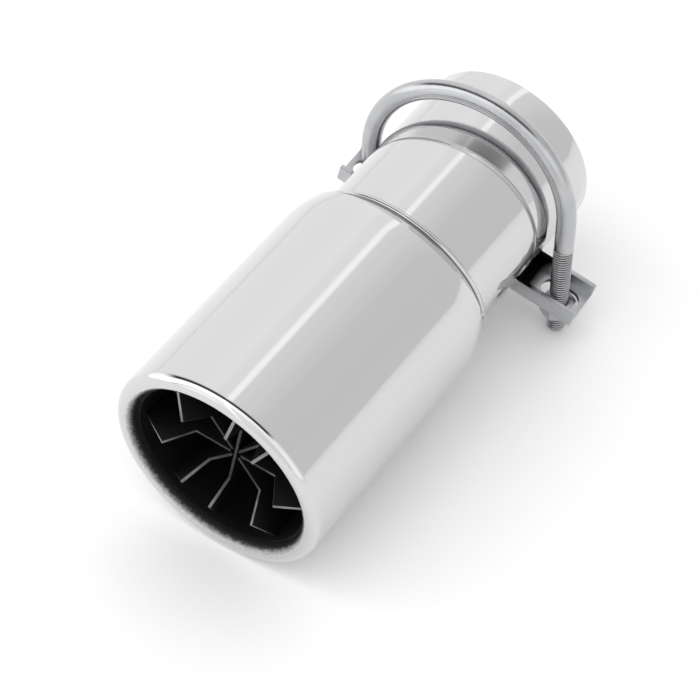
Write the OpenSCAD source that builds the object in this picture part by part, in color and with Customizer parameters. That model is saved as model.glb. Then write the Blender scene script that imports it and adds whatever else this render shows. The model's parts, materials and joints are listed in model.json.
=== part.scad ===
// Exhaust tip with a rolled rim, a necked shoulder, a star baffle and a U-bolt clamp.
// It lies as it rests on a table: on the rolled rim and on the two ends of the U-bolt.
// Sizes are in mm. The origin is the centre of the rear opening, and the mouth faces -Y.
// Inside the modules the work is done along the tube: X right, Y up, Z from the rear end to the mouth.

/* [Tube] */
// Outside diameter of the inner tube
tube_od = 76.2; // [60:0.1:100]
// Wall of the inner tube
tube_wall = 1.5; // [0.8:0.1:2.5]
// How far the inner tube ends behind the middle of the rolled rim
tube_setback = 1.0; // [0.5:0.1:3]
// Depth over which the rear end is sized to slip over a tailpipe
inlet_depth = 28; // [15:0.5:40]
// How much wider that end is, on the radius
inlet_play = 0.4; // [0.05:0.05:0.8]

/* [Body] */
// Step from the outside of the tube out to the wide outer skin
body_step = 7.2; // [5:0.1:15]
// Wall of the outer skin
skin_wall = 1.5; // [0.8:0.1:2]
// Length over all, from the rear end to the front of the rim
length_all = 199.5; // [150:0.1:260]
// Length of the rim's leg that turns back over the inner tube
rim_leg = 12; // [6:0.5:20]

/* [Shoulder] */
// Where the outer skin starts to curve in, measured from the rear end
shoulder_start = 99.6; // [90:0.5:130]
// Radius of that curve, seen from the side
shoulder_radius = 44; // [20:1:45]
// Slope at which the curve ends and the shoulder runs on straight
shoulder_slope = 18; // [15:0.5:28]
// Half angle of the slanted cone that ends the shoulder
nose_half_angle = 51.6; // [30:1:60]
// Where that cone is as wide as the tube
nose_station = 77.6; // [60:0.5:90]
// Sideways offset of the cone, towards the high side
nose_offset = 0.8; // [0:0.1:8]
// Lean of the cone
nose_lean = 11.2; // [0:0.1:15]
// Direction round the tube in which the shoulder reaches furthest forward
high_side = 71.2; // [0:0.1:360]

/* [Weld] */
// Radius of the weld bead
bead_radius = 1.5; // [1:0.1:3]
// Where the bead crosses the tube's axis
bead_station = 77.5; // [60:0.5:90]
// Slant of the bead
bead_slant = 10.4; // [0:0.1:15]

/* [Groove] */
// Where the pressed groove crosses the tube's axis, at its middle
groove_station = 40; // [30:0.5:60]
// Width of the groove
groove_width = 9.3; // [5:0.1:14]
// Depth of the groove
groove_depth = 1.1; // [0.5:0.1:2]
// Length of its sloping front side
groove_ramp = 3; // [1:0.1:5]
// Slant of the groove
groove_slant = 6.9; // [0:0.1:10]

/* [Star baffle] */
// Thickness of a vane
vane_thick = 1.3; // [0.8:0.1:3]
// Depth of a vane along the tube
vane_depth = 25; // [10:1:60]
// How far the middle of the star lies behind the front of the rim
vane_inset = 12.3; // [8:0.1:30]
// Distance from the middle of the star to the foot of the step
vane_step_foot = 17.8; // [10:0.1:22]
// Distance from the middle of the star to the top of the step
vane_step_top = 24.9; // [20:0.1:30]
// Height of the step
vane_step_height = 11.4; // [4:0.1:12]
// Fall of the front edge from the step to the wall
vane_fall = 0.56; // [0.2:0.02:1]
// Gap that the short vanes leave round the middle of the star
star_gap = 2.2; // [1.8:0.1:5]
// Gap between the ends of the short vanes and the long one
vane_gap = 0.4; // [0.2:0.1:2]
// Direction of the long vane
long_angle = 76.6; // [0:0.1:180]
// Directions of the short vanes, round the middle of the star
short_angles = [122.9, 177.1, 224, 303.3, 357.1, 47.3];
// Middle of the star, to the right of the axis
star_x = 0.95; // [-5:0.05:5]
// Middle of the star, above the axis
star_y = -0.5; // [-5:0.05:5]

/* [U-bolt] */
// Diameter of the rod
rod_dia = 8; // [6:1:12]
// Gap between the tube and each leg
leg_gap = 2.35; // [0.5:0.05:10]
// Height of the middle of the bend over the tube's axis
bend_rise = 4.5; // [0:0.1:10]
// Length of a leg from the middle of the bend to its end
leg_length = 56.6; // [45:0.1:80]
// Where the middle of the bend stands, measured from the rear end
bolt_station = 29.3; // [20:0.1:60]
// Turn of the U-bolt to one side
bolt_turn = 3.2; // [0:0.1:6]
// Lean of the U-bolt, feet forward
bolt_lean = 3.9; // [0:0.1:6]
// Chamfer at the ends of the rod
rod_chamfer = 0.8; // [0:0.1:1.5]

/* [Nut] */
// Width across the flats
nut_width = 13; // [10:1:19]
// Height of a nut
nut_height = 6.5; // [4:0.1:10]

/* [Saddle] */
// Sheet thickness
saddle_wall = 2.0; // [1:0.1:4]
// Width of the saddle along the tube
saddle_width = 19.4; // [14:0.1:30]
// Height of the side flanges, from under the wing
flange_height = 7.2; // [4:0.1:12]
// Height of the underside of the wings above the lowest line of the tube
wing_height = 14.7; // [8:0.1:20]
// Distance from the middle of a slot to the end of its wing
wing_end = 10.5; // [8:0.1:30]
// Roll of the saddle round the tube
saddle_roll = 14.4; // [0:0.1:20]
// Clearance between the web of the cradle and the tube
cradle_clearance = 0.3; // [0.1:0.1:2]
// Length of a slot beyond the width of the rod
slot_play = 7; // [2:0.5:12]
// Clearance on each side of the rod in a slot
slot_clearance = 0.9; // [0.3:0.1:2]

/* [Hidden] */
$fn = 96;

tube_r = tube_od / 2;
bore_r = tube_r - tube_wall;
body_r = tube_r + body_step;
rim_r = (body_r - tube_r) / 2;
rim_mid = body_r - rim_r;
rim_station = length_all - rim_r;
tube_length = rim_station - tube_setback;
rod_r = rod_dia / 2;
leg_x = tube_r + leg_gap + rod_r;
nut_face = nut_width / 2 * 0.95;
wing_drop = tube_r - wing_height;
saddle_mid = wing_drop * tan(saddle_roll);
slot_mid = leg_x / cos(saddle_roll);
wing_low = slot_mid + wing_end + saddle_mid;
wing_high = slot_mid + wing_end - saddle_mid;

// Rest: the end of a leg and the bottom of the rim stand on the same level.
foot_y = bend_rise - leg_length * cos(bolt_lean) - (rod_r - rod_chamfer) * sin(bolt_lean) / 2;
foot_z = bolt_station + leg_length * sin(bolt_lean) + leg_x * sin(bolt_turn);
rest_a = -foot_y - rim_mid;
rest_b = rim_station - foot_z;
rest_tilt = acos(rim_r / sqrt(rest_a * rest_a + rest_b * rest_b)) - atan2(rest_b, rest_a);

// The saddle lies across the tube so that both legs pass the middle of its slots.
function leg_fall(side) = (wing_drop + bend_rise * cos(saddle_roll) + side * leg_x * sin(saddle_roll)) / cos(saddle_roll);
function leg_across(side) = side * leg_x * cos(bolt_turn) + leg_fall(side) * sin(bolt_lean) * sin(bolt_turn);
function leg_along(side) = leg_fall(side) * sin(bolt_lean) * cos(bolt_turn) - side * leg_x * sin(bolt_turn);
saddle_turn = atan2(leg_along(-1) - leg_along(1), leg_across(1) - leg_across(-1));
saddle_station = bolt_station + leg_along(1) + leg_across(1) * tan(saddle_turn);

// The underside of the wings as a plane, and the nuts' seats on it at the slots' edges.
under_n = [sin(saddle_roll) * cos(saddle_turn), cos(saddle_roll), -sin(saddle_roll) * sin(saddle_turn)];
leg_up = [-sin(bolt_turn) * sin(bolt_lean), cos(bolt_lean), -cos(bolt_turn) * sin(bolt_lean)];
leg_side = [cos(bolt_turn), 0, -sin(bolt_turn)];
leg_front = [sin(bolt_turn) * cos(bolt_lean), sin(bolt_lean), cos(bolt_turn) * cos(bolt_lean)];
bend_from_saddle = [0, bend_rise, bolt_station - saddle_station];
slot_r = rod_r + slot_clearance;
seat_x = sqrt(nut_face * nut_face - slot_r * slot_r);

function nut_seat(side) =
  (under_n * bend_from_saddle + side * leg_x * (under_n * leg_side)
   + seat_x * (under_n * leg_side) + slot_r * (under_n * leg_front) + wing_drop) / (under_n * leg_up);

module at_rest() {
  rotate([90 + rest_tilt, 0, 0]) children();
}

// The outer skin's full form, or its hollow when it is set in by the wall.
module skin_form(inset) {
  arc_x = body_r - shoulder_radius;
  arc_r = shoulder_radius - inset;
  end_x = arc_x + arc_r * cos(shoulder_slope);
  end_z = shoulder_start - arc_r * sin(shoulder_slope);
  tail = tube_r * 0.8;
  intersection() {
    rotate_extrude() {
      translate([0, shoulder_start]) square([body_r - inset, rim_station - shoulder_start]);
      intersection() {
        translate([arc_x, shoulder_start]) circle(r = arc_r);
        translate([0, end_z - 5]) square([body_r, shoulder_start - end_z + 6]);
      }
      polygon([[0, end_z - tail], [end_x - tail * tan(shoulder_slope - 2), end_z - tail], [end_x, end_z], [0, end_z]]);
    }
    rotate([0, 0, high_side])
      translate([nose_offset, 0, nose_station])
        rotate([0, -nose_lean, 0])
          nose_cone(inset);
  }
}

// Slanted cone that cuts the end of the shoulder.
module nose_cone(inset) {
  grow = tan(nose_half_angle);
  less = inset / cos(nose_half_angle);
  back = tube_r / 2;
  translate([0, 0, -back])
    cylinder(h = back + length_all, r1 = tube_r - back * grow - less, r2 = tube_r + length_all * grow - less);
}

// Rolled rim: the skin's edge turns inward round a half circle and runs back over the tube.
module rim() {
  rotate_extrude() {
    intersection() {
      difference() {
        translate([rim_mid, rim_station]) circle(r = rim_r);
        translate([rim_mid, rim_station]) circle(r = rim_r - skin_wall);
      }
      translate([tube_r - 1, rim_station]) square([2 * rim_r + 2, rim_r + 1]);
    }
    translate([tube_r, rim_station - rim_leg]) square([skin_wall, rim_leg]);
  }
}

module outer_skin() {
  color("silver") at_rest() {
    difference() {
      skin_form(0);
      skin_form(skin_wall);
      cylinder(h = rim_station, r = tube_r);
      translate([0, 0, rim_station - 2]) cylinder(h = 4, r = body_r - skin_wall);
    }
    rim();
  }
}

// Section of the pressed groove; a shift moves it in for the ridge that it makes inside.
module groove_area(shift) {
  front = groove_width / 2 + shift / 2;
  foot = tube_r - shift - groove_depth;
  polygon([
    [tube_r - shift + 4, front + 4 * groove_ramp / groove_depth],
    [tube_r - shift, front],
    [foot, front - groove_ramp],
    [foot, 0.6 - front],
    [tube_r - shift, -front],
    [tube_r - shift + 4, -front]
  ]);
}

module groove_ring(shift) {
  translate([0, 0, groove_station]) rotate([0, groove_slant, 0])
    rotate_extrude() intersection() {
      groove_area(shift);
      translate([0, -groove_width]) square([tube_r - shift + 1.5, 2 * groove_width]);
    }
}

module inner_tube() {
  color("silver") at_rest() difference() {
    cylinder(h = tube_length, r = tube_r);
    groove_ring(0);
    difference() {
      translate([0, 0, -1]) cylinder(h = tube_length + 2, r = bore_r);
      groove_ring_body();
    }
    translate([0, 0, -1]) cylinder(h = inlet_depth + 1, r = bore_r + inlet_play);
  }
}

// Ridge that the groove raises inside the tube.
module groove_ring_body() {
  intersection() {
    groove_ring(tube_wall);
    cylinder(h = tube_length, r = tube_r);
  }
}

// Weld bead on the slanted seam between the shoulder and the tube.
module shoulder_weld() {
  color("gray") at_rest() difference() {
    rotate([0, 0, high_side])
      translate([0, 0, bead_station])
        rotate([0, -bead_slant, 0])
          rotate_extrude() translate([tube_r + 0.35, 0]) circle(r = bead_radius);
    cylinder(h = tube_length, r = tube_r);
    skin_form(0);
  }
}

// A vane from above its own middle line, cut by the bore so that it ends on the wall.
module vane_blank(from, angle) {
  middle = length_all - vane_inset;
  top = middle + vane_step_height;
  intersection() {
    translate([star_x, star_y, 0]) rotate([0, 0, angle]) rotate([90, 0, 0])
      translate([0, 0, -vane_thick / 2])
        linear_extrude(vane_thick)
          polygon([
            [from, middle - vane_depth],
            [from, middle],
            [vane_step_foot, middle],
            [vane_step_top, top],
            [bore_r + 10, top - (bore_r + 10 - vane_step_top) * vane_fall],
            [bore_r + 10, middle - vane_depth]
          ]);
    cylinder(h = length_all, r = bore_r);
  }
}

// A short vane stands off the long one, and its inner end lies along it.
module short_vane(number) {
  color("dimgray") at_rest() difference() {
    vane_blank(star_gap, short_angles[number - 1]);
    translate([star_x, star_y, length_all / 2]) rotate([0, 0, long_angle])
      cube([tube_od, vane_thick + 2 * vane_gap, length_all], center = true);
  }
}

module vane_long() {
  color("dimgray") at_rest() {
    vane_blank(0, long_angle);
    vane_blank(0, long_angle + 180);
  }
}

module vane_1() { short_vane(1); }
module vane_2() { short_vane(2); }
module vane_3() { short_vane(3); }
module vane_4() { short_vane(4); }
module vane_5() { short_vane(5); }
module vane_6() { short_vane(6); }

module at_bolt() {
  translate([0, bend_rise, bolt_station]) rotate([-bolt_lean, bolt_turn, 0]) children();
}

module leg(side) {
  translate([side * leg_x, 0, 0]) rotate([90, 0, 0]) {
    cylinder(h = leg_length - rod_chamfer, r = rod_r);
    translate([0, 0, leg_length - rod_chamfer]) cylinder(h = rod_chamfer, r1 = rod_r, r2 = rod_r - rod_chamfer);
  }
}

module u_bolt() {
  color("darkgray") at_rest() at_bolt() {
    rotate_extrude(angle = 180) translate([leg_x, 0]) circle(r = rod_r);
    leg(1);
    leg(-1);
  }
}

// A hexagon nut with both faces turned down to the bearing circle.
module nut(side) {
  chamfer = nut_width / sqrt(3) - nut_face;
  rise = chamfer * tan(30);
  color("darkgray") at_rest() at_bolt()
    translate([side * leg_x, -nut_seat(side), 0]) rotate([90, 0, 0])
      difference() {
        intersection() {
          rotate([0, 0, 30]) cylinder(h = nut_height, r = nut_width / sqrt(3), $fn = 6);
          union() {
            cylinder(h = rise, r1 = nut_face, r2 = nut_face + chamfer);
            translate([0, 0, rise]) cylinder(h = nut_height - 2 * rise, r = nut_face + chamfer + 0.01);
            translate([0, 0, nut_height - rise]) cylinder(h = rise, r1 = nut_face + chamfer, r2 = nut_face);
          }
        }
        translate([0, 0, -1]) cylinder(h = nut_height + 2, r = rod_r);
      }
}

module nut_left() { nut(-1); }
module nut_right() { nut(1); }

// Side view of the saddle: two straight wings and a round cradle between them.
module saddle_area(inset) {
  web_r = tube_r + cradle_clearance + saddle_wall - inset;
  translate([-wing_high, inset - wing_drop]) square([wing_high + wing_low, flange_height - inset]);
  intersection() {
    circle(r = web_r);
    translate([-web_r - 1, -web_r - 1]) square([2 * web_r + 2, web_r + 0.5 + flange_height - wing_drop]);
  }
}

module slot(side) {
  half = slot_play / 2;
  translate([saddle_mid + side * slot_mid, -wing_drop, 0]) rotate([90, 0, 0])
    for (s = [-1, 1]) translate([s * half, 0, -saddle_wall - 0.5]) cylinder(h = saddle_wall * 2 + 6, r = slot_r);
  translate([saddle_mid + side * slot_mid - half, -wing_drop - saddle_wall - 5.5, -slot_r])
    cube([slot_play, saddle_wall * 2 + 6, 2 * slot_r]);
}

module saddle() {
  inner_width = saddle_width - 2 * saddle_wall;
  color("gray") at_rest() difference() {
    translate([0, 0, saddle_station]) rotate([0, saddle_turn, 0]) rotate([0, 0, -saddle_roll])
      difference() {
        translate([0, 0, -saddle_width / 2]) linear_extrude(saddle_width) saddle_area(0);
        translate([0, 0, -inner_width / 2]) linear_extrude(inner_width) hollow_area();
        slot(1);
        slot(-1);
      }
    cylinder(h = tube_length, r = tube_r);
  }
}

// The saddle's hollow runs out over the top and both ends.
module hollow_area() {
  saddle_area(saddle_wall);
  translate([-wing_high - 1, saddle_wall - wing_drop]) square([wing_high + wing_low + 2, flange_height]);
}

outer_skin();
inner_tube();
shoulder_weld();
vane_long();
vane_1();
vane_2();
vane_3();
vane_4();
vane_5();
vane_6();
u_bolt();
saddle();
nut_left();
nut_right();
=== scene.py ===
# %% [markdown]
# An exhaust tip, modelled step by step.
# The object is a polished double-walled pipe end. Its mouth has a rolled rim and a star of thin
# plates inside, and a loose U-bolt clamp with a pressed saddle hangs on the inlet tube.
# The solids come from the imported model. Blender gives them smooth high-resolution forms, a thread,
# rounded edges and finishes. Lengths are written in millimetres and turned into metres by MM. Only
# the table and the lamps, which belong to the studio, are given in metres.

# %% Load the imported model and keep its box
import json
import math

import bpy
from mathutils import Matrix, Vector


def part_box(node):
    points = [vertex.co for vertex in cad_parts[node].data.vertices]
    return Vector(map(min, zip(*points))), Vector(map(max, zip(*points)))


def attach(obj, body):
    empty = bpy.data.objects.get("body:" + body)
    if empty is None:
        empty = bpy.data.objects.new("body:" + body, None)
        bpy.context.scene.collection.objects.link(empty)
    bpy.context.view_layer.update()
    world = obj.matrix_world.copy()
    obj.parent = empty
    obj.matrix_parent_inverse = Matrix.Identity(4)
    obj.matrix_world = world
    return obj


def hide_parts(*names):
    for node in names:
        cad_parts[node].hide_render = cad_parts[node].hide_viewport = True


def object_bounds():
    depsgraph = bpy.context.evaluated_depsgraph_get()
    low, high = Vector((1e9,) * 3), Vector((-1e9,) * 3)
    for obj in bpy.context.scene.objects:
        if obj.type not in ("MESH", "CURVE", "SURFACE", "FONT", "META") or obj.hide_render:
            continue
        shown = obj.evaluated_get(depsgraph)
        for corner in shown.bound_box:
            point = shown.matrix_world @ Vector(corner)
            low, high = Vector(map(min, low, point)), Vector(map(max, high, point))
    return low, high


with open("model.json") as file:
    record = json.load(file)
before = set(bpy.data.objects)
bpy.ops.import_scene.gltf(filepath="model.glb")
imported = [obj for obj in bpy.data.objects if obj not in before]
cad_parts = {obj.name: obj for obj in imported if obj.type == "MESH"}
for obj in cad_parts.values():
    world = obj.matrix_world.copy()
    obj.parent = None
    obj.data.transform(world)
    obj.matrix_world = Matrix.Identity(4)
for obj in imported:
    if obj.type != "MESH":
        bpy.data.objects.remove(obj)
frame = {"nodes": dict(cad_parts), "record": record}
nodes = frame["nodes"]
cad_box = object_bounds()
MM = 0.001
print("nodes:", sorted(nodes))

# %% [markdown]
# The tube lies at a small angle, because the part rests on its rim and on the ends of the U-bolt.
# It is easiest to model everything along a level tube, with Y running to the rear and 0 at the rear
# opening, and to turn each finished piece into its resting attitude. The angle is read from the
# model's own inlet, so it follows the solids.

# %% The resting attitude
inlet = frame["record"]["mounts"][0]
rest_tilt = math.atan2(inlet["axis"][2], inlet["axis"][1])
print("the tube rises to the rear by", round(math.degrees(rest_tilt), 3), "degrees")

# %% [markdown]
# Blender's modelling operators work on what is selected and active. A few small helpers take up one
# piece, and open, mend and close its mesh. Others draw an arc of a side view and a turned form,
# which is a closed side view spun once round the tube's axis. The last one lays a piece to rest.

# %% Helpers for building


def deselect():
    """Nothing is selected or active afterwards, so an operator touches only what comes next."""
    if bpy.context.mode != "OBJECT":
        bpy.ops.object.mode_set(mode="OBJECT")
    bpy.ops.object.select_all(action="DESELECT")
    bpy.context.view_layer.objects.active = None


def take(piece):
    """Selects one piece alone and makes it the active one."""
    deselect()
    piece.select_set(True)
    bpy.context.view_layer.objects.active = piece


def edit(piece):
    """Opens a piece in edit mode with all its points selected."""
    take(piece)
    bpy.ops.object.mode_set(mode="EDIT")
    bpy.ops.mesh.select_mode(type="VERT")
    bpy.ops.mesh.select_all(action="SELECT")


def mend(distance):
    """Merges points closer than a distance in millimetres and turns all faces outwards."""
    bpy.ops.mesh.select_all(action="SELECT")
    bpy.ops.mesh.remove_doubles(threshold=distance * MM)
    bpy.ops.mesh.normals_make_consistent(inside=False)


def leave():
    """Closes edit mode."""
    bpy.ops.object.mode_set(mode="OBJECT")


def arc(cx, cz, radius, start, end, steps):
    """Points (radius from the axis, place along the tube) on an arc, angles in degrees."""
    turn = [math.radians(start + (end - start) * i / steps) for i in range(steps + 1)]
    return [(cx + radius * math.cos(a), cz + radius * math.sin(a)) for a in turn]


def closed_line(name, profile):
    """A closed chain of edges through the (radius, y) points of a side view."""
    mesh = bpy.data.meshes.new(name)
    count = len(profile)
    edges = [(i, (i + 1) % count) for i in range(count)]
    mesh.from_pydata([Vector((r, y, 0)) * MM for r, y in profile], edges, [])
    piece = bpy.data.objects.new(name, mesh)
    bpy.context.scene.collection.objects.link(piece)
    return piece


def turned(name, profile, steps):
    """Spins a closed profile of (radius, y) points once round the tube's axis."""
    piece = closed_line(name, profile)
    edit(piece)
    bpy.ops.mesh.spin(steps=steps, angle=2 * math.pi, center=(0, 0, 0), axis=(0, 1, 0))
    mend(0.001)
    leave()
    return piece


def smooth(piece, angle):
    """Shades a piece smooth, apart from edges sharper than an angle in degrees."""
    take(piece)
    bpy.ops.object.shade_smooth_by_angle(angle=math.radians(angle))


def laid_to_rest(piece, node):
    """Turns a piece from the level tube into its resting attitude and lets it stand for its node."""
    piece.matrix_world = Matrix.Rotation(rest_tilt, 4, "X") @ piece.matrix_world
    take(piece)
    bpy.ops.object.transform_apply(location=True, rotation=True, scale=True)
    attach(piece, "root")
    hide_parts(node)
    low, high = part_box(node)
    size = [round(v / MM, 1) for v in piece.dimensions]
    print(piece.name, "size", size, "solid's", [round(v / MM, 1) for v in high - low])


# %% [markdown]
# The photograph is taken from the front right and looks down at the part with a long lens.
# The camera's place was found by fitting the rim, the tube's ends and the hoop to the picture,
# so it is given as a viewing angle, a distance and a focal length.

# %% Camera
view_azimuth = 34.83
view_elevation = 47.32
view_roll = -0.41
view_target = Vector((3.2, -116.7, -14.4)) * MM
view_distance = 875.6 * MM
lens_mm = 117.7

turn = (
    Matrix.Rotation(math.radians(view_azimuth), 4, "Z")
    @ Matrix.Rotation(math.radians(90 - view_elevation), 4, "X")
    @ Matrix.Rotation(math.radians(view_roll), 4, "Z")
)
step_back = Matrix.Translation((0, 0, view_distance))
bpy.ops.object.camera_add()
camera = bpy.context.object
camera.name = "photo_camera"
camera.matrix_world = Matrix.Translation(view_target) @ turn @ step_back
camera.data.sensor_width = 36
camera.data.lens = lens_mm
bpy.context.scene.camera = camera
print("camera at", [round(v, 3) for v in camera.matrix_world.translation])

# %% [markdown]
# Materials are node trees. One function turns an sRGB hex colour into the linear values that the
# shader needs. Another feeds an input, with a plain value or with a link, and a third adds a node
# with its settings and inputs in one line.

# %% Colour and node helpers


def srgb(code):
    """Linear RGBA of an sRGB colour such as '#c8c8c8'."""
    parts = [int(code[i : i + 2], 16) / 255 for i in (1, 3, 5)]
    return [c / 12.92 if c <= 0.04045 else ((c + 0.055) / 1.055) ** 2.4 for c in parts] + [1.0]


def feed(tree, socket, value):
    """Gives an input its value, which may be another node's output."""
    if isinstance(value, bpy.types.NodeSocket):
        tree.links.new(value, socket)
    else:
        socket.default_value = value


def add_node(tree, kind, inputs=None, **settings):
    """A node of this kind with its settings; inputs go by name or by number."""
    made = tree.nodes.new(kind)
    for key, value in settings.items():
        setattr(made, key, value)
    for key, value in (inputs or {}).items():
        feed(tree, made.inputs[key], value)
    return made


def new_finish(name):
    """An empty material with its shader; returns the material, its tree and the shader."""
    finish = bpy.data.materials.new(name)
    finish.use_nodes = True
    print("finish:", name)
    return finish, finish.node_tree, finish.node_tree.nodes["Principled BSDF"]


print("the sRGB grey #808080 is", round(srgb("#808080")[0], 3), "in linear light")

# %% [markdown]
# A finish differs from place to place: soot lies only inside the mouth, painted shade only in a
# hollow.
# Such a mask is worked out from where a point is or which way its surface faces, and a fade turns
# either into a share from 0 to 1. Noise makes the border of a mask ragged and breaks up a finish.
# Its scale counts blotches per metre, so at 1000 each blotch is some 1 mm wide on the real part.

# %% Helpers for masks and patterns
NOISE_MIDDLE = (0.3, 0.7)
RELIEF_STRENGTH = 0.15


def object_place(tree):
    """Where a point is on the part, in real metres."""
    return add_node(tree, "ShaderNodeTexCoord").outputs["Object"]


def surface_normal(tree):
    """Which way the surface faces."""
    return add_node(tree, "ShaderNodeNewGeometry").outputs["Normal"]


def part_of(tree, vector, axis):
    """The X, Y or Z part of a vector."""
    return add_node(tree, "ShaderNodeSeparateXYZ", {"Vector": vector}).outputs[axis]


def sums(tree, kind, *numbers):
    """One sum on numbers."""
    return add_node(tree, "ShaderNodeMath", dict(enumerate(numbers)), operation=kind).outputs[0]


def vector_sums(tree, kind, inputs, result="Vector"):
    """One sum on vectors; the result is a vector, or a number when it is named 'Value'."""
    return add_node(tree, "ShaderNodeVectorMath", inputs, operation=kind).outputs[result]


def level_place(tree, vector):
    """A place or a normal as seen along the level tube, with Y along its axis."""
    settings = {"Vector": vector, "Rotation": (-rest_tilt, 0, 0)}
    return add_node(tree, "ShaderNodeMapping", settings).outputs[0]


def across_tube(tree, level):
    """The part of a level vector that lies across the tube."""
    return vector_sums(tree, "MULTIPLY", {0: level, 1: (1, 0, 1)})


def from_axis(tree, place):
    """Distance of a place from the tube's axis."""
    return vector_sums(tree, "LENGTH", {0: across_tube(tree, level_place(tree, place))}, "Value")


def noise(tree, place, scale, detail=4.0):
    """Cloudy noise with this many blotches per metre."""
    settings = {"Vector": place, "Scale": scale, "Detail": detail}
    return add_node(tree, "ShaderNodeTexNoise", settings).outputs["Fac"]


def fade(tree, value, start, end, low=0.0, high=1.0):
    """A number that goes from low at start to high at end."""
    settings = {"Value": value, "From Min": start, "From Max": end, "To Min": low, "To Max": high}
    return add_node(tree, "ShaderNodeMapRange", settings).outputs["Result"]


def spread(tree, value, low, high):
    """Turns the middle part of a noise into a range of numbers."""
    return fade(tree, value, *NOISE_MIDDLE, low, high)


def blend(tree, first, second, share, colour=True):
    """A mix of two colours, or of two numbers, by a share from 0 to 1."""
    mix = add_node(tree, "ShaderNodeMix", data_type="RGBA" if colour else "FLOAT")
    sockets = {socket.identifier: socket for socket in mix.inputs}
    tail = "Color" if colour else "Float"
    for key, value in (("A_" + tail, first), ("B_" + tail, second), ("Factor_Float", share)):
        feed(tree, sockets[key], value)
    return next(socket for socket in mix.outputs if socket.identifier == "Result_" + tail)


def finish_shader(tree, shader, base, rough, metal, relief, relief_depth):
    """Feeds a finish's colour, roughness and metal share, and its fine relief in millimetres."""
    settings = {"Height": relief, "Strength": RELIEF_STRENGTH, "Distance": relief_depth * MM}
    bump = add_node(tree, "ShaderNodeBump", settings)
    inputs = {"Base Color": base, "Roughness": rough, "Metallic": metal, "Normal": bump.outputs[0]}
    for name, value in inputs.items():
        feed(tree, shader.inputs[name], value)


# %% [markdown]
# Polished stainless steel is a metal with a low roughness. The eye sees mostly the white room in it,
# and very fine long polishing lines that stretch the highlights. The lines run round the tube
# on a turned part, so the pattern is squeezed along the tube and is far finer than it is long.
# In the mouth, black paint and soot reach onto the rim's inner side in a ragged fringe.

# %% Polished stainless steel
# Polishing lines are some 15 mm long (65 per metre) and 0.4 mm apart (2500 per metre).
LINES = (65, 2500, 65)
LINE_DEPTH = 0.003
# The haze has blotches of some 22 mm, and the teeth of the soot's fringe are some 1.4 mm wide.
HAZE = 45.0
FRINGE = 700.0
fringe_height = 1.4 * MM
# The soot fades in towards the axis and towards the mouth, from the first place to the second.
soot_radii = (41.0 * MM, 39.1 * MM)
soot_places = (-170 * MM, -180 * MM)


def polish_lines(tree, place):
    """Fine lines that run round the tube."""
    stretch = add_node(tree, "ShaderNodeMapping", {"Vector": place, "Scale": LINES})
    return noise(tree, stretch.outputs[0], 1.0, 3.0)


def haze(tree, place, roughness):
    """A roughness that wavers a little from place to place."""
    return spread(tree, noise(tree, place, HAZE), roughness * 0.75, roughness * 1.3)


def polished_steel(name, colour, roughness):
    """Bright metal with the fringe of soot on the inner side of the rim."""
    finish, tree, shader = new_finish(name)
    place = object_place(tree)
    teeth = noise(tree, place, FRINGE, 5.0)
    ragged = sums(tree, "MULTIPLY_ADD", teeth, fringe_height, from_axis(tree, place))
    at_mouth = fade(tree, part_of(tree, place, "Y"), *soot_places)
    soot = sums(tree, "MULTIPLY", fade(tree, ragged, *soot_radii), at_mouth)
    base = blend(tree, srgb(colour), srgb("#060606"), soot)
    rough = blend(tree, haze(tree, place, roughness), 0.6, soot, colour=False)
    metal = sums(tree, "SUBTRACT", 1.0, soot)
    finish_shader(tree, shader, base, rough, metal, polish_lines(tree, place), LINE_DEPTH)
    return finish


skin_steel = polished_steel("polished_stainless_skin", "#d3d3d4", 0.06)

# %% [markdown]
# The seam's bead is ground and polished too. Its crown is bright, and its two flanks are painted
# darker: painted shade for the creases on either side of it. How far a point is down a flank
# shows in its normal, which leans along the tube there.

# %% Ground weld bead
# Grinding leaves marks of some 1.1 mm.
GRINDING = 900.0
flank_leans = (0.4, 0.8)


def ground_bead(name, crown, flank_shade):
    """Bright on the crown; painted shade and more roughness on the flanks."""
    finish, tree, shader = new_finish(name)
    marks = noise(tree, object_place(tree), GRINDING)
    lean = part_of(tree, level_place(tree, surface_normal(tree)), "Y")
    flank_shade_share = fade(tree, sums(tree, "ABSOLUTE", lean), *flank_leans)
    # The flanks' darker grey is painted shade.
    base = blend(tree, srgb(crown), srgb(flank_shade), flank_shade_share)
    rough = fade(tree, flank_shade_share, 0.0, 1.0, 0.12, 0.4)
    finish_shader(tree, shader, base, rough, 1.0, marks, 0.02)
    return finish


# The second grey is the painted shade on the flanks.
weld_steel = ground_bead("ground_weld_bead", "#d0d0d0", "#484848")

# %% [markdown]
# The inner tube is polished outside. Inside, from the mouth on, it is black with heat-proof paint
# and soot, and bare again where the tailpipe slips in. Which side of the sheet a point is on shows
# in its normal, because inside the tube the normal points to the axis.

# %% Tube steel with the black inside
# The paint's rear edge wavers in tongues of some 8 mm, and the soot on it has clouds of some 17 mm.
TONGUES = 120.0
SOOT_CLOUDS = 60.0
tongue_length = 8 * MM
paint_places = (-22 * MM, -42 * MM)
inner_facing = (0.6, 0.2)


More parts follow.
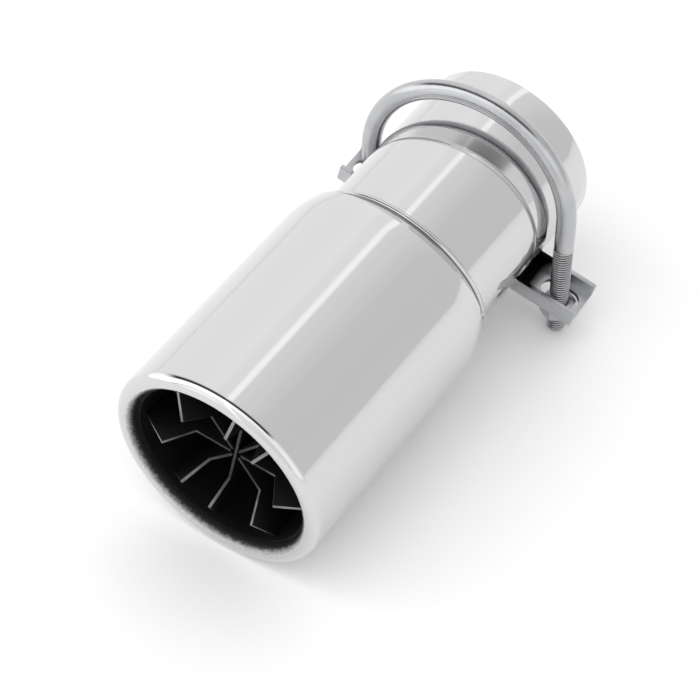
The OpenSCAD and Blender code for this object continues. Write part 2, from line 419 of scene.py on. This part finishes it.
def blackened_tube(name, colour, roughness):
    """Polished steel outside, black paint with soot inside."""
    finish, tree, shader = new_finish(name)
    place = object_place(tree)
    level = level_place(tree, place)
    outwards = vector_sums(tree, "NORMALIZE", {0: across_tube(tree, level)})
    normal = level_place(tree, surface_normal(tree))
    facing = vector_sums(tree, "DOT_PRODUCT", {0: outwards, 1: normal}, "Value")
    tongues = noise(tree, place, TONGUES, 5.0)
    ragged = sums(tree, "MULTIPLY_ADD", tongues, tongue_length, part_of(tree, level, "Y"))
    inside = fade(tree, facing, *inner_facing)
    black = sums(tree, "MULTIPLY", inside, fade(tree, ragged, *paint_places))
    soot = noise(tree, place, SOOT_CLOUDS, 6.0)
    paint = blend(tree, srgb("#020202"), srgb("#070707"), soot)
    base = blend(tree, srgb(colour), paint, black)
    paint_rough = spread(tree, soot, 0.55, 0.8)
    rough = blend(tree, haze(tree, place, roughness), paint_rough, black, colour=False)
    metal = sums(tree, "SUBTRACT", 1.0, black)
    shader.inputs["Specular IOR Level"].default_value = 0.2
    finish_shader(tree, shader, base, rough, metal, polish_lines(tree, place), LINE_DEPTH)
    return finish


tube_steel = blackened_tube("polished_stainless_tube_black_inside", "#d2d2d3", 0.07)

# %% [markdown]
# Zinc plating on the clamp is a satin grey. It is metallic, with a fine crystalline surface that
# spreads the light and a tone that drifts a little from place to place. Shade is painted into two
# places, the roots of the thread and the saddle's hollow under the tube. Each has its own mask,
# which is a function that the finish calls.

# %% Zinc plating
# The zinc's crystals are some 0.6 mm wide, its clouds 9 mm, the painted shade's ragged spots 3 mm.
CRYSTALS = 1600.0
ZINC_CLOUDS = 110.0
HOLLOW_SHADE_SPOTS = 300.0
shade_spot_height = 1 * MM
root_shares = (0.25, 0.75)
hollow_shade_radii = (49 * MM, 45 * MM)
rear_wall_places = (-30 * MM, -26 * MM)
inner_face_parts = (-0.4, -0.7)
floor_parts = (0.3, 0.6)


def zinc_plating(name, colour, roughness, painted_shade=None):
    """Satin zinc. The last argument is a function that gives the share of painted shade at a place.
    """
    finish, tree, shader = new_finish(name)
    place = object_place(tree)
    grain = noise(tree, place, CRYSTALS)
    cloud = spread(tree, noise(tree, place, ZINC_CLOUDS, 3.0), 0.9, 1.06)
    base = vector_sums(tree, "SCALE", {0: srgb(colour)[:3], "Scale": cloud})
    rough = spread(tree, grain, roughness * 0.85, roughness * 1.15)
    # Shade is painted here: where the mask asks for it, the colour is mixed towards near-black.
    if painted_shade:
        share = painted_shade(tree, place)
        base = blend(tree, base, srgb("#101010"), share)
        rough = blend(tree, rough, 0.7, share, colour=False)
    finish_shader(tree, shader, base, rough, 1.0, grain, 0.006)
    return finish


def thread_root_shade(tree, place):
    """Painted shade in the thread's roots, where the mesh carries how deep it is cut."""
    cut = add_node(tree, "ShaderNodeAttribute", attribute_name="thread_root").outputs["Fac"]
    return fade(tree, cut, *root_shares)


def hollow_shade(tree, place):
    """Painted shade in the saddle's hollow, on its floor and on the inner face of its rear wall."""
    shade_spots = noise(tree, place, HOLLOW_SHADE_SPOTS)
    ragged = sums(tree, "MULTIPLY_ADD", shade_spots, shade_spot_height, from_axis(tree, place))
    normal = surface_normal(tree)
    at_rear = fade(tree, part_of(tree, place, "Y"), *rear_wall_places)
    inner_face = fade(tree, part_of(tree, normal, "Y"), *inner_face_parts)
    rear_wall = sums(tree, "MULTIPLY", at_rear, inner_face)
    floor_side = fade(tree, part_of(tree, normal, "Z"), *floor_parts)
    hollow = sums(tree, "MAXIMUM", rear_wall, floor_side)
    return sums(tree, "MULTIPLY", fade(tree, ragged, *hollow_shade_radii), hollow)


# The rod gets painted shade in the roots of its thread.
bolt_zinc = zinc_plating("zinc_plated_rod", "#babbbd", 0.22, thread_root_shade)
# The saddle gets painted shade in its hollow under the tube.
saddle_zinc = zinc_plating("zinc_plated_saddle", "#bcbdbf", 0.36, hollow_shade)
nut_zinc = zinc_plating("zinc_plated_nut", "#b6b7b9", 0.32)

# %% [markdown]
# The vanes are steel. Their sides lie in shadow deep in the mouth, so they are painted black as
# painted shade, and only the cut front edges show the steel. The mask for it is the normal, which
# points out of the mouth on a front edge and nowhere else on a vane. The steel of the edges is
# darker in the middle of the star and brighter at its tips.

# %% The vanes' black paint
# Blotches on the painted shade's edge are some 4 mm wide, its grain 0.7 mm, the steel's stains 8 mm.
SHADE_EDGE_BLOTCHES = 260.0
SIDE_GRAIN = 1400.0
STAINS = 120.0
shade_edge_reach = 0.5
edge_facing_parts = (-0.1, -0.45)
stain_reach = 24 * MM
stain_radii = (27 * MM, 42 * MM)


def shaded_vane_steel(name):
    """Steel with painted shade in black on its sides; the edges that face out of the mouth stay
    steel.
    """
    finish, tree, shader = new_finish(name)
    place = object_place(tree)
    forward = part_of(tree, surface_normal(tree), "Y")
    facing_out = sums(tree, "MULTIPLY_ADD", noise(tree, place, SHADE_EDGE_BLOTCHES), shade_edge_reach, forward)
    edge_steel = fade(tree, facing_out, *edge_facing_parts)
    stains = noise(tree, place, STAINS, 2.0)
    outer = sums(tree, "MULTIPLY_ADD", stains, stain_reach, from_axis(tree, place))
    steel = blend(tree, srgb("#3e3e3d"), srgb("#8e8e8d"), fade(tree, outer, *stain_radii))
    # The black is painted shade on the vanes' sides; the front edges keep the steel.
    base = blend(tree, srgb("#070707"), steel, edge_steel)
    rough = blend(tree, 0.5, 0.35, edge_steel, colour=False)
    shader.inputs["Specular IOR Level"].default_value = 0.3
    finish_shader(tree, shader, base, rough, edge_steel, noise(tree, place, SIDE_GRAIN, 3.0), 0.02)
    return finish


vane_steel_shade = shaded_vane_steel("vane_steel_with_painted_shade_on_sides")

# %% [markdown]
# The outer skin is sheet steel, drawn to a cylinder. At the back it narrows in a smooth shoulder,
# and its end is turned down on a slant to meet the inner tube. At the front its edge is rolled
# inwards round a half circle. Such a form is turned: a profile is spun round the axis. The slanted
# end can't be turned, so the profile gets rows of points there, and after the spin each row slides
# to where the shoulder and a slanted cone would have it. The rows follow the crease, so it is clean.

# %% Sizes of the skin
length_all = 199.5
tube_r = 38.1
tube_wall = 1.5
body_r = 45.3
skin_wall = 1.5
rim_r = (body_r - tube_r) / 2
rim_y = rim_r - length_all
rim_leg = 12
shoulder_y = -99.6
shoulder_radius = 44
shoulder_slope = math.radians(18)
cone_half_angle = math.radians(51.6)
cone_y = -77.6
cone_shift = 0.8
cone_lean = math.radians(11.2)
high_side = math.radians(71.2)
# The crease lies somewhere between these two places along the tube.
crease_front_limit = -105
crease_rear_limit = -40
HALVINGS = 40


def shoulder_width(y, wall):
    """Radius of the turned shoulder at a place along the tube, on the inside when a wall is given."""
    round_r = shoulder_radius - wall
    end_y = shoulder_y + round_r * math.sin(shoulder_slope)
    if y <= end_y:
        return body_r - shoulder_radius + math.sqrt(round_r**2 - max(0, y - shoulder_y) ** 2)
    end_r = body_r - shoulder_radius + round_r * math.cos(shoulder_slope)
    return end_r - (y - end_y) * math.tan(shoulder_slope)


def beyond_cone(radius, y, angle, wall):
    """Distance of a point outside the slanted cone, less than zero inside it."""
    side = radius * math.cos(angle - high_side) - cone_shift
    across = radius * math.sin(angle - high_side)
    along = cone_y - y
    depth = -side * math.sin(cone_lean) + along * math.cos(cone_lean)
    side = side * math.cos(cone_lean) + along * math.sin(cone_lean)
    slope = math.tan(cone_half_angle)
    return math.hypot(side, across) - (tube_r - wall / math.cos(cone_half_angle)) - depth * slope


def where_zero(measure, low, high):
    """The place between low and high where a rising measure passes zero."""
    for _ in range(HALVINGS):
        middle = (low + high) / 2
        if measure(middle) < 0:
            low = middle
        else:
            high = middle
    return (low + high) / 2


def crease_y(angle, wall):
    """Where the shoulder meets the slanted cone, on one side of the tube."""

    def measure(y):
        return beyond_cone(shoulder_width(y, wall), y, angle, wall)

    return where_zero(measure, crease_front_limit, crease_rear_limit)


print("crease on the high side at", round(crease_y(high_side, 0), 1))
print("crease on the other side at", round(crease_y(high_side + math.pi, 0), 1))

# %% [markdown]
# Now the skin itself. Its side view runs from the slanted end over the shoulder and the straight
# body to the mouth, round the rim and its short leg, and back on the inside.

# %% Outer skin with the rolled rim
ROUND = 288
BEND_ROWS = 40
END_ROWS = 8
BODY_ROWS = 14
RIM_STEPS = 48
RIM_INSIDE_STEPS = 12
same_point = 0.01


def shoulder_row(row, angle, wall):
    """Point (radius, y) of a row: the first rows are on the turned shoulder, the last on the cone."""
    edge = crease_y(angle, wall)
    if row <= BEND_ROWS:
        y = shoulder_y + (edge - shoulder_y) * row / BEND_ROWS
        return shoulder_width(y, wall), y
    share = (row - BEND_ROWS) / END_ROWS
    radius = shoulder_width(edge, wall) * (1 - share) + tube_r * share
    y = where_zero(lambda y: beyond_cone(radius, y, angle, wall), edge - 1, crease_rear_limit)
    return radius, y


def skin_profile():
    """The closed side view: outside to the mouth, round the rim, its leg, and back inside."""
    rows = BEND_ROWS + END_ROWS
    body_length = rim_y - shoulder_y
    outside = [shoulder_row(row, 0, 0) for row in range(rows, 0, -1)]
    straight = [(body_r, shoulder_y + body_length * i / BODY_ROWS) for i in range(BODY_ROWS)]
    rim = arc(body_r - rim_r, rim_y, rim_r, 0, -180, RIM_STEPS)
    leg = [(tube_r, rim_y + rim_leg), (tube_r + skin_wall, rim_y + rim_leg)]
    rim_inside = arc(body_r - rim_r, rim_y, rim_r - skin_wall, -180, 0, RIM_INSIDE_STEPS)
    inside = [shoulder_row(row, 0, skin_wall) for row in range(rows)]
    return outside + straight + rim + leg + rim_inside + inside


def slide_rows(piece, rows, wall):
    """Moves the points of the spun shoulder from their turned place to the slanted one."""
    start = [shoulder_row(row, 0, wall) for row in rows]
    moved = 0
    slid = {}
    for point in piece.data.vertices:
        x, y, z = (v / MM for v in point.co)
        radius = math.hypot(x, z)
        off = [abs(row_r - radius) + abs(row_y - y) for row_r, row_y in start]
        near = off.index(min(off))
        if off[near] > same_point:
            continue
        angle = round(math.atan2(z, x), 5)
        if (near, angle) not in slid:
            slid[near, angle] = shoulder_row(rows[near], angle, wall)
        radius, y = slid[near, angle]
        point.co = Vector((radius * math.cos(angle), y, radius * math.sin(angle))) * MM
        moved += 1
    print(piece.name, "points moved:", moved)


skin = turned("polished_skin", skin_profile(), ROUND)
slide_rows(skin, range(1, BEND_ROWS + END_ROWS + 1), 0)
slide_rows(skin, range(1, BEND_ROWS + END_ROWS), skin_wall)
smooth(skin, 20)
skin.data.materials.append(skin_steel)
laid_to_rest(skin, "outer_skin")

# %% [markdown]
# The inner tube is a plain tube. A groove is pressed into it under the clamp, a little askew, with
# one steep side and one that slopes out. The tube's side view is spun and then sheared, so that the
# groove lies as aslant as on the real one. The shear dies away on either side of the groove, so the
# ends of the tube stay square.

# %% Inner tube with the pressed groove
bore_r = tube_r - tube_wall
tube_front = rim_y + 1.0
groove_y = -40
groove_half = 4.65
groove_depth = 1.1
groove_rear_run = 5.9
groove_front_run = 3.2
groove_slant = math.radians(6.9)
groove_reach = 8.0
GROOVE_ROWS = 96
end_round = 0.3
END_STEPS = 4
plain_places = (-60, -90, -140)
shear_full = 9
shear_fade = 18


def eased(low, high, share):
    """A smooth step from low to high for a share from 0 to 1."""
    share = min(max(share, 0), 1)
    return low + (high - low) * share * share * (3 - 2 * share)


def groove_fall(y):
    """Depth of the groove at a place: a long gentle side to the rear, a short eased one in front."""
    rear_side = (groove_y + groove_half - y) / groove_rear_run
    front_side = (y - (groove_y - groove_half)) / groove_front_run
    share = min(rear_side, eased(0, 1, front_side))
    return groove_depth * min(max(share, 0), 1)


def tube_profile():
    """The closed side view of the tube: outside from its rear end to the front, and back inside."""
    row = 2 * groove_reach / GROOVE_ROWS
    run = [groove_y + groove_reach - row * i for i in range(GROOVE_ROWS + 1)]
    step = (run[0] + end_round) / END_STEPS
    outside = [(tube_r - end_round, 0), (tube_r - 0.09, -0.09), (tube_r, -end_round)]
    outside += [(tube_r, step * i - end_round) for i in range(1, END_STEPS)]
    outside += [(tube_r - groove_fall(y), y) for y in run]
    outside += [(tube_r, y) for y in (*plain_places, tube_front)]
    inside = [(bore_r, y) for y in (tube_front, *reversed(plain_places))]
    inside += [(bore_r - groove_fall(y), y) for y in reversed(run)]
    inside += [(bore_r, -20), (bore_r, -8)]
    inside += [(bore_r, -end_round), (bore_r + 0.1, -0.1), (bore_r + end_round, 0)]
    return outside + inside


tube = turned("inner_pipe", tube_profile(), ROUND)
for point in tube.data.vertices:
    off = abs(point.co.y / MM - groove_y)
    hold = eased(1, 0, (off - shear_full) / shear_fade)
    point.co.y += hold * point.co.x * math.tan(groove_slant)
smooth(tube, 40)
tube.data.materials.append(tube_steel)
laid_to_rest(tube, "inner_tube")

# %% [markdown]
# The U-bolt is round rod bent to a hoop, with a rolled thread on both legs. A curve with a round
# section makes the rod. Where the thread is, the curve has a point at every eighth of the pitch,
# and each ring of points is drawn in and out as its angle and height on the screw line ask.

# %% U-bolt with its threads
rod_r = 4.0
leg_x = 44.45
bend_rise = 4.5
leg_length = 56.6
bolt_y = -29.3
bolt_turn = math.radians(3.2)
bolt_lean = math.radians(3.9)
rod_chamfer = 0.8
end_face = 0.1
thread_top = 13.4
thread_pitch = 1.25
thread_depth = 0.72
# The first bit of the cut isn't drawn, which leaves flat crests. At its top the thread runs out.
crest_flat = 0.08
thread_runout = 1.2
PITCH_STEPS = 8
HOOP_STEPS = 72
ROD_SIDES = 8


def hoop_path():
    """Points (x, z, radius) from one end of the rod to the other."""
    step = thread_pitch / PITCH_STEPS
    count = int((leg_length - rod_chamfer - thread_top) / step)
    leg = [(leg_length, rod_r - rod_chamfer), (leg_length - rod_chamfer, rod_r)]
    leg += [(leg_length - rod_chamfer - step * i, rod_r) for i in range(1, count + 1)]
    leg += [(thread_top - 3, rod_r), (thread_top - 8, rod_r)]
    left = [(-leg_x, -drop, radius) for drop, radius in leg]
    turns = [math.radians(180 - 180 * i / HOOP_STEPS) for i in range(HOOP_STEPS + 1)]
    bend = [(leg_x * math.cos(a), leg_x * math.sin(a), rod_r) for a in turns]
    return left + bend + [(-x, z, radius) for x, z, radius in reversed(left)]


def swept_rod(name, path, sides):
    """A rod along a path of (x, z, radius), as a mesh with closed ends."""
    track = bpy.data.curves.new(name, "CURVE")
    track.dimensions = "3D"
    track.bevel_depth = MM
    track.bevel_resolution = sides
    track.use_fill_caps = True
    spline = track.splines.new("POLY")
    spline.points.add(len(path) - 1)
    for point, (x, z, radius) in zip(spline.points, path):
        point.co = (x * MM, 0, z * MM, 1)
        point.radius = radius
    rod = bpy.data.objects.new(name, track)
    bpy.context.scene.collection.objects.link(rod)
    take(rod)
    bpy.ops.object.convert(target="MESH")
    return bpy.context.object


def cut_thread(rod):
    """Draws the points of both legs in along a screw line and notes how deep each one is."""
    root = rod.data.attributes.new("thread_root", "FLOAT", "POINT")
    for point in rod.data.vertices:
        x, y, z = (v / MM for v in point.co)
        drop = -z
        if drop < thread_top - thread_runout or drop > leg_length - end_face:
            continue
        side = math.copysign(leg_x, x)
        around = math.atan2(y, x - side)
        phase = (drop / thread_pitch + around / (2 * math.pi)) % 1.0
        cut = thread_depth * (1 - abs(2 * phase - 1))
        cut *= eased(0, 1, (drop - thread_top + thread_runout) / (2 * thread_runout))
        radius = min(math.hypot(x - side, y), rod_r - max(0, cut - crest_flat))
        root.data[point.index].value = cut / thread_depth
        point.co = Vector((side + radius * math.cos(around), radius * math.sin(around), z)) * MM


hoop = swept_rod("clamp_hoop", hoop_path(), ROD_SIDES)
edit(hoop)
mend(0.001)
leave()
cut_thread(hoop)
smooth(hoop, 50)
hoop.data.materials.append(bolt_zinc)
bolt_place = Matrix.Translation(Vector((0, bolt_y, bend_rise)) * MM)
bolt_place = bolt_place @ Matrix.Rotation(bolt_turn, 4, "Z") @ Matrix.Rotation(-bolt_lean, 4, "X")
hoop.matrix_world = bolt_place
laid_to_rest(hoop, "u_bolt")

# %% [markdown]
# The vanes, the saddle and the nuts keep the solids' forms, but no real edge is perfectly sharp:
# a sheared plate, a pressed channel and a forged nut all have edges that catch the light. Each is
# a copy of its solid, merged and with its flat faces joined, and a bevel modifier rounds its edges.

# %% Saddle, nuts and vanes with rounded edges
saddle_round = 0.5
nut_round = 0.25
vane_round = 0.22
flat_within = math.radians(1)
edge_from = math.radians(40)


def rounded_copy(name, node, width, finish):
    """A copy of a solid with its edges rounded by a width in millimetres."""
    piece = bpy.data.objects.new(name, nodes[node].data.copy())
    bpy.context.scene.collection.objects.link(piece)
    edit(piece)
    mend(0.002)
    bpy.ops.mesh.dissolve_limited(angle_limit=flat_within)
    leave()
    take(piece)
    bevel = piece.modifiers.new("edges", "BEVEL")
    bevel.width = width * MM
    bevel.segments = 3
    bevel.limit_method = "ANGLE"
    bevel.angle_limit = edge_from
    bpy.ops.object.modifier_apply(modifier=bevel.name)
    smooth(piece, 38)
    piece.data.materials.clear()
    piece.data.materials.append(finish)
    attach(piece, "root")
    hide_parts(node)
    print(name, "faces", len(piece.data.polygons))


rounded_copy("pressed_saddle", "saddle", saddle_round, saddle_zinc)
rounded_copy("left_nut", "nut_left", nut_round, nut_zinc)
rounded_copy("right_nut", "nut_right", nut_round, nut_zinc)
for number in range(1, 7):
    vane = "vane_" + str(number)
    rounded_copy("star_" + vane, vane, vane_round, vane_steel_shade)
rounded_copy("star_long_vane", "vane_long", vane_round, vane_steel_shade)

# %% [markdown]
# The weld bead runs round the slanted seam. Its section is a low round, a closed profile that is
# spun and then set aslant over the seam, so the skin's end and the tube both disappear under it.

# %% Weld bead on the seam
bead_radius = 1.5
bead_lift = 0.35
bead_reach = 105
BEAD_STEPS = 24
bead_station = 77.5
bead_slant = math.radians(10.4)

bead_profile = arc(tube_r + bead_lift, 0, bead_radius, -bead_reach, bead_reach, BEAD_STEPS)
seam_bead = turned("seam_bead", bead_profile, ROUND)
seam_bead.matrix_world = (
    Matrix.Rotation(-high_side, 4, "Y")
    @ Matrix.Translation((0, -bead_station * MM, 0))
    @ Matrix.Rotation(-bead_slant, 4, "Z")
)
smooth(seam_bead, 60)
seam_bead.data.materials.append(weld_steel)
laid_to_rest(seam_bead, "shoulder_weld")

# %% [markdown]
# The part lies on a plain white table, as high as the lowest point of the solids. The table is
# rough, so it takes a soft shadow and shows no sharp reflection.

# %% Table
table_width = 6
floor_z = min(v[2] for v in cad_box)
bpy.ops.mesh.primitive_plane_add(size=table_width, location=(0, 0, floor_z))
floor = bpy.context.object
floor.name = "pale_table"
floor_paint, _, floor_shader = new_finish("white_table")
floor_shader.inputs["Base Color"].default_value = srgb("#f8f8f8")
floor_shader.inputs["Roughness"].default_value = 0.7
floor.data.materials.append(floor_paint)
print("table at", round(floor_z / MM, 2), "mm")

# %% [markdown]
# A polished pipe shows little of itself and much of the room, so the room is what gives it its
# greys. The room is painted on the world by direction. One ramp goes from left to right: a bright
# left side, a narrow brighter strip just left of the middle, and a greyer right side. The other goes
# from front to back: a thin darker line in front, the brightest stretch above the front, and an even
# back. Their product is the room, and a dark gap overhead is taken out of it. The gap draws the thin
# black lines in the lip and the groove.

# %% Room light
bpy.context.scene.view_settings.view_transform = "Standard"
world = bpy.data.worlds.new("white_studio")
world.use_nodes = True
bpy.context.scene.world = world
room = world.node_tree
direction = add_node(room, "ShaderNodeTexCoord").outputs["Generated"]

# Each stop is a part of the direction, from -1 to 1, and the brightness or the gap's depth there.
left_side = [(-1, 1.03), (-0.65, 1.03), (-0.39, 1.06), (-0.25, 1.0), (-0.17, 1.0)]
bright_strip = [(-0.12, 1.25), (-0.07, 1.25)]
right_side = [(-0.03, 0.9), (0.19, 0.86), (0.33, 0.8), (0.5, 0.75), (0.8, 0.74), (1, 0.78)]
front_line = [(-1, 1.05), (-0.74, 1.3), (-0.7, 0.5)]
over_front = [(-0.66, 1.5), (-0.2, 1.6), (0.1, 1.3)]
even_back = [(0.42, 1.0), (1, 1.0)]
gap_width = [(-1, 0), (-0.97, 0), (-0.85, 0.95), (0.6, 0.95), (0.76, 0), (1, 0)]
gap_middle = [(-1, 0), (-0.2, 0), (-0.12, 1), (0.23, 1)]
gap_rear = [(0.28, 0.35), (0.35, 0.3), (0.42, 0), (1, 0)]


def room_ramp(axis, stops):
    """A grey that follows the X or Y part of the direction."""
    half = fade(room, part_of(room, direction, axis), -1.0, 1.0)
    ramp = add_node(room, "ShaderNodeValToRGB", {"Fac": half})
    ramp.color_ramp.interpolation = "EASE"
    for _ in stops[2:]:
        ramp.color_ramp.elements.new(1.0)
    for stop, (place, bright) in zip(ramp.color_ramp.elements, stops):
        stop.position = (place + 1) / 2
        stop.color = (bright, bright, bright, 1)
    return ramp.outputs["Color"]


across = room_ramp("X", left_side + bright_strip + right_side)
along = room_ramp("Y", front_line + over_front + even_back)
gap = sums(room, "MULTIPLY", room_ramp("X", gap_width), room_ramp("Y", gap_middle + gap_rear))
lit = sums(room, "SUBTRACT", 1.0, gap)
brightness = sums(room, "MULTIPLY", sums(room, "MULTIPLY", across, along), lit)
backdrop = room.nodes["Background"]
feed(room, backdrop.inputs["Color"], brightness)
feed(room, backdrop.inputs["Strength"], 1.07)
print("room painted with", len(room.nodes), "nodes")

# %% [markdown]
# Two weak softboxes give the shadow on the table its side and its softness. They are hidden from
# reflections, because the steel already has its room.

# %% Softboxes
lamp_target = Vector((0, -0.1, 0))


def lamp(name, place, size, power):
    """A square softbox that lights the table and the part, and isn't seen in the steel itself."""
    bpy.ops.object.light_add(type="AREA", location=place)
    made = bpy.context.object
    made.name = name
    made.data.shape = "SQUARE"
    made.data.size = size
    made.data.energy = power
    made.visible_glossy = False
    made.rotation_euler = (lamp_target - Vector(place)).to_track_quat("-Z", "Y").to_euler()
    print(name, power, "W")


lamp("softbox_left", (-0.9, -0.2, 1.2), 1.0, 2.5)
lamp("softbox_top", (0.25, -0.1, 1.6), 1.6, 6)
